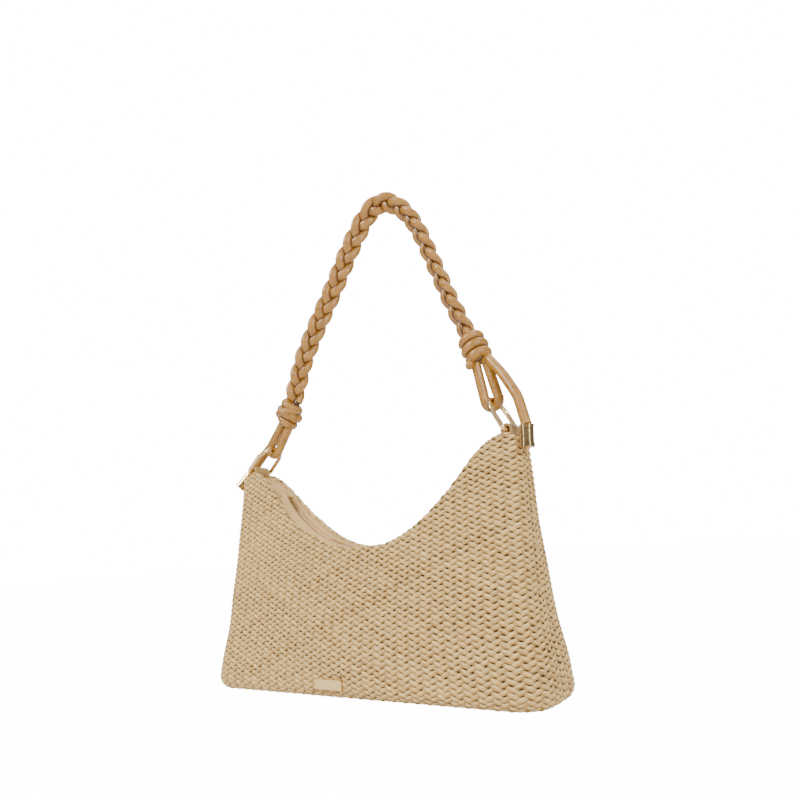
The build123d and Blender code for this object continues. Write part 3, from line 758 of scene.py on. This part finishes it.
# base: the same bias weave, flat
tubes = Tubes()
for direction in (1, -1):
    for m_i in range(-50, 51):
        t = np.arange(-141, 138.01, 1.5)
        y = 4.04 * m_i + direction * SLOPE * t
        L, D, R = 268.0, 60.0, 14.0
        qx, qy = np.abs(t + 1.8) - (L / 2 - R), np.abs(y) - (D / 2 - R)
        dist = np.hypot(np.maximum(qx, 0), np.maximum(qy, 0)) + np.minimum(np.maximum(qx, qy), 0) - R
        idx = np.flatnonzero(dist < 0)
        if len(idx) < 5:
            continue
        for run in np.split(idx, np.flatnonzero(np.diff(idx) > 1) + 1):
            if len(run) < 5:
                continue
            x, yy = t[run], y[run]
            z = 1.15 + 0.40 * np.cos(np.pi * x / COL) * direction
            p = np.stack([x, yy, z], 1)
            rings = tube_rings(p, 1.4, 6, up=(0, 0, 1), flat=0.24)
            tubes.add(rings, along=np.repeat(x[:, None], 6, 1), across=np.repeat(np.linspace(-1.4, 1.4, 6)[None], len(x), 0) + 11.0 * m_i,
                      tone=RNG.random(), depth=np.zeros((len(x), 6)), rim=np.zeros((len(x), 6)))
base = tubes.build("straw_base")
paint(base, STRAW)
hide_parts("base_panel", "gusset_left", "gusset_right")
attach(base, "bag")


# ------------------------------------------------------------------ lining
def loop_grid(off, v_rows, top_drop):
    """Closed loops round the bag at each row; rows follow the scoop near the top."""
    rings = []
    n = 150
    for f in v_rows:
        pts = []
        for back in (False, True):
            s = np.linspace(-1, 1, n)
            x_guess = s * 128
            vt = edge_z(np.clip(x_guess, -124, 124), back) - top_drop
            v = -4.8 + (vt + 4.8) * f
            sm = half_length(v, s < 0)
            q = surface(s * sm, v, off, back, lip=False)
            pts.append(q if not back else q[::-1])
        ring = np.concatenate([pts[0][:-1], pts[1][:-1]])
        rings.append(ring)
    return np.array(rings)


rows = np.linspace(0.0, 1.0, 40)
outer_l = loop_grid(-1.05, rows, 4.0)
inner_l = loop_grid(-1.8, rows, 4.0)
inner_l[:, :, 2] = np.maximum(inner_l[:, :, 2], 2.9)
outer_l[:, :, 2] = np.maximum(outer_l[:, :, 2], 2.1)
R_, N_ = outer_l.shape[0], outer_l.shape[1]
verts = np.concatenate([outer_l.reshape(-1, 3), inner_l.reshape(-1, 3), [[0, 0, 2.1], [0, 0, 2.9]]])
faces = []
ii = np.arange(R_ - 1)[:, None] * N_
jj = np.arange(N_)[None]
j2 = (jj + 1) % N_
q1 = np.stack([ii + jj, ii + j2, ii + N_ + j2, ii + N_ + jj], -1).reshape(-1, 4)
o = R_ * N_
q2 = np.stack([ii + jj + o, ii + N_ + jj + o, ii + N_ + j2 + o, ii + j2 + o], -1).reshape(-1, 4)
top = (R_ - 1) * N_
jv = np.arange(N_)
q3 = np.stack([top + jv, top + (jv + 1) % N_, top + o + (jv + 1) % N_, top + o + jv], -1)
c0, c1 = 2 * o, 2 * o + 1
t0 = [(int((j + 1) % N_), int(j), c0) for j in range(N_)]
t1 = [(int(j + o), int((j + 1) % N_ + o), c1) for j in range(N_)]
faces = [tuple(f) for f in np.concatenate([q1, q2, q3])] + t0 + t1
lining = mesh_piece("lining_cloth_shell", verts, faces)
paint(lining, LINING)
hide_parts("lining")
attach(lining, "bag")

# ---------------------------------------------------- facings and the zip
def wall_y(x, z, off, back):
    """y of the woven wall inset by off, at x and height z."""
    L, D, R, _ = section(z, np.asarray(x) < 0)
    a, b = L / 2, D / 2
    x = x - hermite(SEC_Z, SEC_X, np.clip(z, 9, 176))
    q = np.clip(np.abs(x) - (a - R), 0, R * 0.98)
    y = b - R + np.sqrt(np.maximum(R * R - q * q, 0)) - off
    return y


def strip(name, columns, profile_fn, mat, body="bag", attrs=None):
    """Closed strip swept along columns: profile_fn(u) gives (k,3) ring points."""
    rings = np.array([profile_fn(u) for u in columns])
    tubes = Tubes()
    tubes.add(rings, tone=0.5)
    ob = tubes.build(name)
    paint(ob, mat)
    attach(ob, body)
    return ob


def facing_profile(phi, sign):
    a = math.radians(phi)
    x, zz = ZR * math.sin(a), ZC - ZR * math.cos(a)
    back = sign > 0
    e = float(edge_z(x, back))
    rim = float(wall_y(x, e, 2.6, False))
    sagv = float(sag(np.array(x * 1.03), np.array(e), back))
    rim = rim + sagv
    zr = e - 0.9
    pts_top = []
    yi = 3.9
    n = 9
    for k in range(n + 1):
        t = k / n
        y = yi + (rim - yi) * t
        z = (zz + 0.9) * (1 - t) + (zr + 0.3) * t + 0.55 * math.sin(math.pi * t) * (1 - 0.5 * t)
        pts_top.append((x, y, z))
    pts_top.append((x, rim + 0.55, zr - 1.0))
    pts_top.append((x, rim + 0.6, zr - 7.5))
    low = [(x, rim - 0.3, zr - 7.5)]
    for k in range(n, -1, -1):
        t = k / n
        y = yi - 0.45 * (1 - t) + (rim - 0.4 - yi) * t
        z = (zz + 0.05) * (1 - t) + (zr - 0.8) * t + 0.55 * math.sin(math.pi * t) * (1 - 0.5 * t)
        low.append((x, y, z))
    ring = np.array(pts_top + low)
    ring[:, 1] *= sign
    return ring


phis = np.linspace(-60.4, 60.4, 150)
for side, sign in (("front", -1), ("back", 1)):
    ob = strip("facing_band_" + side, phis, lambda p: facing_profile(p, sign), CLOTH)
    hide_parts("facing_" + side)
    # stitching line beside the zip
    tubes = Tubes()
    pitch = 2.6 / ZR
    a_s = np.arange(math.radians(-59.5), math.radians(59.5), pitch)
    for a0 in a_s:
        aa = np.linspace(a0, a0 + pitch * 0.68, 5)
        lift = 0.32 * np.sin(np.linspace(0, np.pi, 5)) + 1.0
        p = np.stack([ZR * np.sin(aa), np.full(5, sign * 5.6), ZC - ZR * np.cos(aa) + lift + 0.12], 1)
        tubes.add(tube_rings(p, 0.24, 6, up=(0, 1, 0)), tone=0.5)
    ob = tubes.build("stitches_" + side)
    paint(ob, THREAD)
    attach(ob, "bag")

# top corners: facing closes over the hump between zip end and tab
for side, sgn in (("left", -1), ("right", 1)):
    xs = np.linspace(83.4, 123.4, 40)

    def corner(xa):
        x = sgn * xa
        ef, eb = float(edge_z(x, False)), float(edge_z(x, True))
        wf, wb = -float(wall_y(x, ef, 1.9, False)), float(wall_y(x, eb, 1.9, False))
        crown = 1.6 * math.exp(-((xa - 84) / 9.0) ** 2)
        top, low = [], []
        for t in np.linspace(0, 1, 13):
            y = wf + (wb - wf) * t
            z = ef + (eb - ef) * t - 0.2 + crown * math.sin(math.pi * t)
            top.append((x, y, z))
            low.append((x, y, z - 1.3))
        return np.array(top + low[::-1])
    ob = strip("corner_facing_" + side, xs, corner, CLOTH)
    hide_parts("facing_end_" + side)

for side, sign in (("front", -1), ("back", 1)):
    def tape_profile(p):
        a = math.radians(p)
        ring = []
        inner = 2.0 if abs(p) < 57.4 else 0.06
        for (y, dr) in ((inner, -0.30), (8.0, -0.30), (8.0, 0.30), (inner, 0.30)):
            ring.append((( ZR + 0.3 + dr) * math.sin(a), sign * y, ZC - (ZR + 0.3 + dr) * math.cos(a)))
        return np.array(ring)
    ob = strip("tape_" + side, np.linspace(-61.2, 61.2, 96), tape_profile, TAPE)
    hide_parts("zip_tape_" + side)
    # separate teeth, meshing on the middle line
    tubes = Tubes()
    pitch = 1.55 / ZR
    a_t = np.arange(math.radians(-57), math.radians(56.6), pitch) + (pitch / 2 if sign > 0 else 0)
    for a0 in a_t:
        prof = []
        for y, hw, hr in ((2.3, 0.46, 0.75), (1.7, 0.5, 1.0), (0.55, 0.44, 1.02), (-0.2, 0.36, 0.8), (-0.45, 0.2, 0.5)):
            ring = []
            for (u, w) in ((-1, -1), (-0.6, 1), (0.6, 1), (1, -1)):
                aa = a0 + u * hw / ZR
                rr = ZR - w * hr
                ring.append((rr * math.sin(aa), sign * y, ZC - rr * math.cos(aa)))
            prof.append(ring)
        tubes.add(np.array(prof), tone=0.5)
    ob = tubes.build("teeth_" + side)
    for poly in ob.data.polygons:
        poly.use_smooth = False
    paint(ob, GOLD)
    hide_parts("zip_teeth_" + side)
    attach(ob, "bag")

# ------------------------------------------------------------ leather tabs
for side, sgn in (("left", -1), ("right", 1)):
    cx, cz = sgn * 117.0, 171.5
    ys = np.linspace(-8.2, 8.2, 22)

    def tab_ring(y):
        f = 1 - 0.06 * (abs(y) / 8.2) ** 6
        ro = 4.55 * f
        outer_p, inner_p = [], []
        wide = 0.25 * math.sin(y * 0.9 + sgn)
        for ang in np.linspace(-0.30 * math.pi, 1.30 * math.pi, 25):
            outer_p.append((cx + ro * math.cos(ang), y, cz + ro * math.sin(ang)))
        outer_p = outer_p[::-1]
        legs_l = [(cx - 2.35 + 0.1 * wide, y * 0.93, 166.2), (cx - 2.2, y * 0.80, 158.0)]
        legs_r = [(cx + 2.2, y * 0.80, 158.0), (cx + 2.35 + 0.1 * wide, y * 0.93, 166.2)]
        return np.array(outer_p + legs_r[::-1] + legs_l[::-1])

    # solid outer wrap with a bored tunnel: outer and inner surfaces joined at both mouths
    rings_out = np.array([tab_ring(y) for y in ys])
    k = rings_out.shape[1]
    ai = np.linspace(-0.30 * math.pi, 1.30 * math.pi, 25)[::-1]
    inner_ring = [(2.25 * math.cos(t), 2.25 * math.sin(t)) for t in ai]
    inner_ring += [(0.9, -2.1), (0.3, -2.25), (-0.3, -2.25), (-0.9, -2.1)]
    rings_in = np.array([[(cx + dx, y, cz + dz) for dx, dz in inner_ring] for y in ys])
    n = len(ys)
    v = np.concatenate([rings_out.reshape(-1, 3), rings_in.reshape(-1, 3)])
    faces = []
    for i in range(n - 1):
        for j in range(k):
            j2_ = (j + 1) % k
            faces.append((i * k + j, i * k + j2_, (i + 1) * k + j2_, (i + 1) * k + j))
            faces.append((n * k + i * k + j, n * k + (i + 1) * k + j, n * k + (i + 1) * k + j2_, n * k + i * k + j2_))
    for j in range(k):
        j2_ = (j + 1) % k
        faces.append((j2_, j, n * k + j, n * k + j2_))
        e0 = (n - 1) * k
        faces.append((e0 + j, e0 + j2_, n * k + e0 + j2_, n * k + e0 + j))
    ob = mesh_piece("leather_tab_" + side, v, faces)
    mod = ob.modifiers.new("round", "BEVEL")
    mod.width = 0.0004
    mod.segments = 2
    mod.limit_method = "ANGLE"
    paint(ob, TAB_M)
    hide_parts("tab_loop_" + side)
    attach(ob, "bag")

# -------------------------------------------------- metal carried from CAD
for name in ("zip_stop_left", "zip_stop_right", "zip_slider", "zip_puller", "ring_left", "ring_right",
             "end_cap_left", "end_cap_right", "name_plate"):
    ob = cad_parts[name]
    ob.data.materials.clear()
    ob.data.materials.append(GOLD)

# ------------------------------------------------------------------- stage
def white_material(name, lit, shown):
    """Pale floor: lit like a matt board, and shown a little brighter than it lights the bag."""
    mat, nt, bsdf = nodes_of(name)
    bsdf.inputs["Base Color"].default_value = (0.85, 0.85, 0.85, 1)
    bsdf.inputs["Roughness"].default_value = 0.9
    bsdf.inputs["Emission Color"].default_value = (1, 1, 1, 1)
    lp = nt.nodes.new("ShaderNodeLightPath")
    nt.links.new(math_node(nt, "MULTIPLY_ADD", lp.outputs["Is Camera Ray"], shown - lit, lit), bsdf.inputs["Emission Strength"])
    return mat


floor = mesh_piece("floor", np.array([[-6, -6, 0], [6, -6, 0], [6, 6, 0], [-6, 6, 0]], float), [(0, 1, 2, 3)], unit=1.0)
paint(floor, white_material("floor_white", 0.1, 14.0))
world = bpy.data.worlds.new("studio")
bpy.context.scene.world = world
world.use_nodes = True
wt = world.node_tree
bg = wt.nodes["Background"]
lp = wt.nodes.new("ShaderNodeLightPath")
geo = wt.nodes.new("ShaderNodeTexCoord")
sep = wt.nodes.new("ShaderNodeSeparateXYZ")
wt.links.new(geo.outputs["Generated"], sep.inputs[0])
# a soft studio: bright overhead, darker towards the sides, for the metal to reflect
height = ramp(wt, math_node(wt, "MULTIPLY_ADD", sep.outputs[2], 0.5, 0.5), [(0.0, (0.16, 0.15, 0.13)), (0.50, (0.12, 0.115, 0.105)), (0.58, (0.20, 0.195, 0.19)), (0.74, (0.80, 0.79, 0.78)), (1.0, (1.0, 1.0, 1.0))])
wt.links.new(height, bg.inputs["Color"])
bg.inputs["Strength"].default_value = 0.9
white = wt.nodes.new("ShaderNodeBackground")
white.inputs["Color"].default_value = (1, 1, 1, 1)
white.inputs["Strength"].default_value = 16.0
blend_w = wt.nodes.new("ShaderNodeMixShader")
wt.links.new(lp.outputs["Is Camera Ray"], blend_w.inputs[0])
wt.links.new(bg.outputs[0], blend_w.inputs[1])
wt.links.new(white.outputs[0], blend_w.inputs[2])
wt.links.new(blend_w.outputs[0], wt.nodes["World Output"].inputs["Surface"])


def area(name, loc, target, size, power, color=(1, 1, 1)):
    li = bpy.data.lights.new(name, "AREA")
    li.energy, li.size, li.color = power, size, color
    ob = bpy.data.objects.new(name, li)
    ob.location = loc
    d = Vector(target) - Vector(loc)
    ob.rotation_euler = d.to_track_quat("-Z", "Y").to_euler()
    bpy.context.scene.collection.objects.link(ob)


area("key", (-0.7, -1.2, 1.4), (0, 0, 0.15), 0.45, 31)
area("fill", (1.5, -0.9, 0.9), (0, 0, 0.15), 0.45, 24)
area("top", (0.0, 0.5, 1.8), (0, 0, 0.15), 1.0, 13)
# two upright strips give the metal its bright streaks
for name, loc, power in (("strip_left", (-0.55, -1.0, 0.32), 1.6), ("strip_right", (1.05, -0.35, 0.32), 1.6)):
    area(name, loc, (0, 0, 0.17), 0.09, power)
    bpy.data.lights[name].shape = "RECTANGLE"
    bpy.data.lights[name].size_y = 0.8
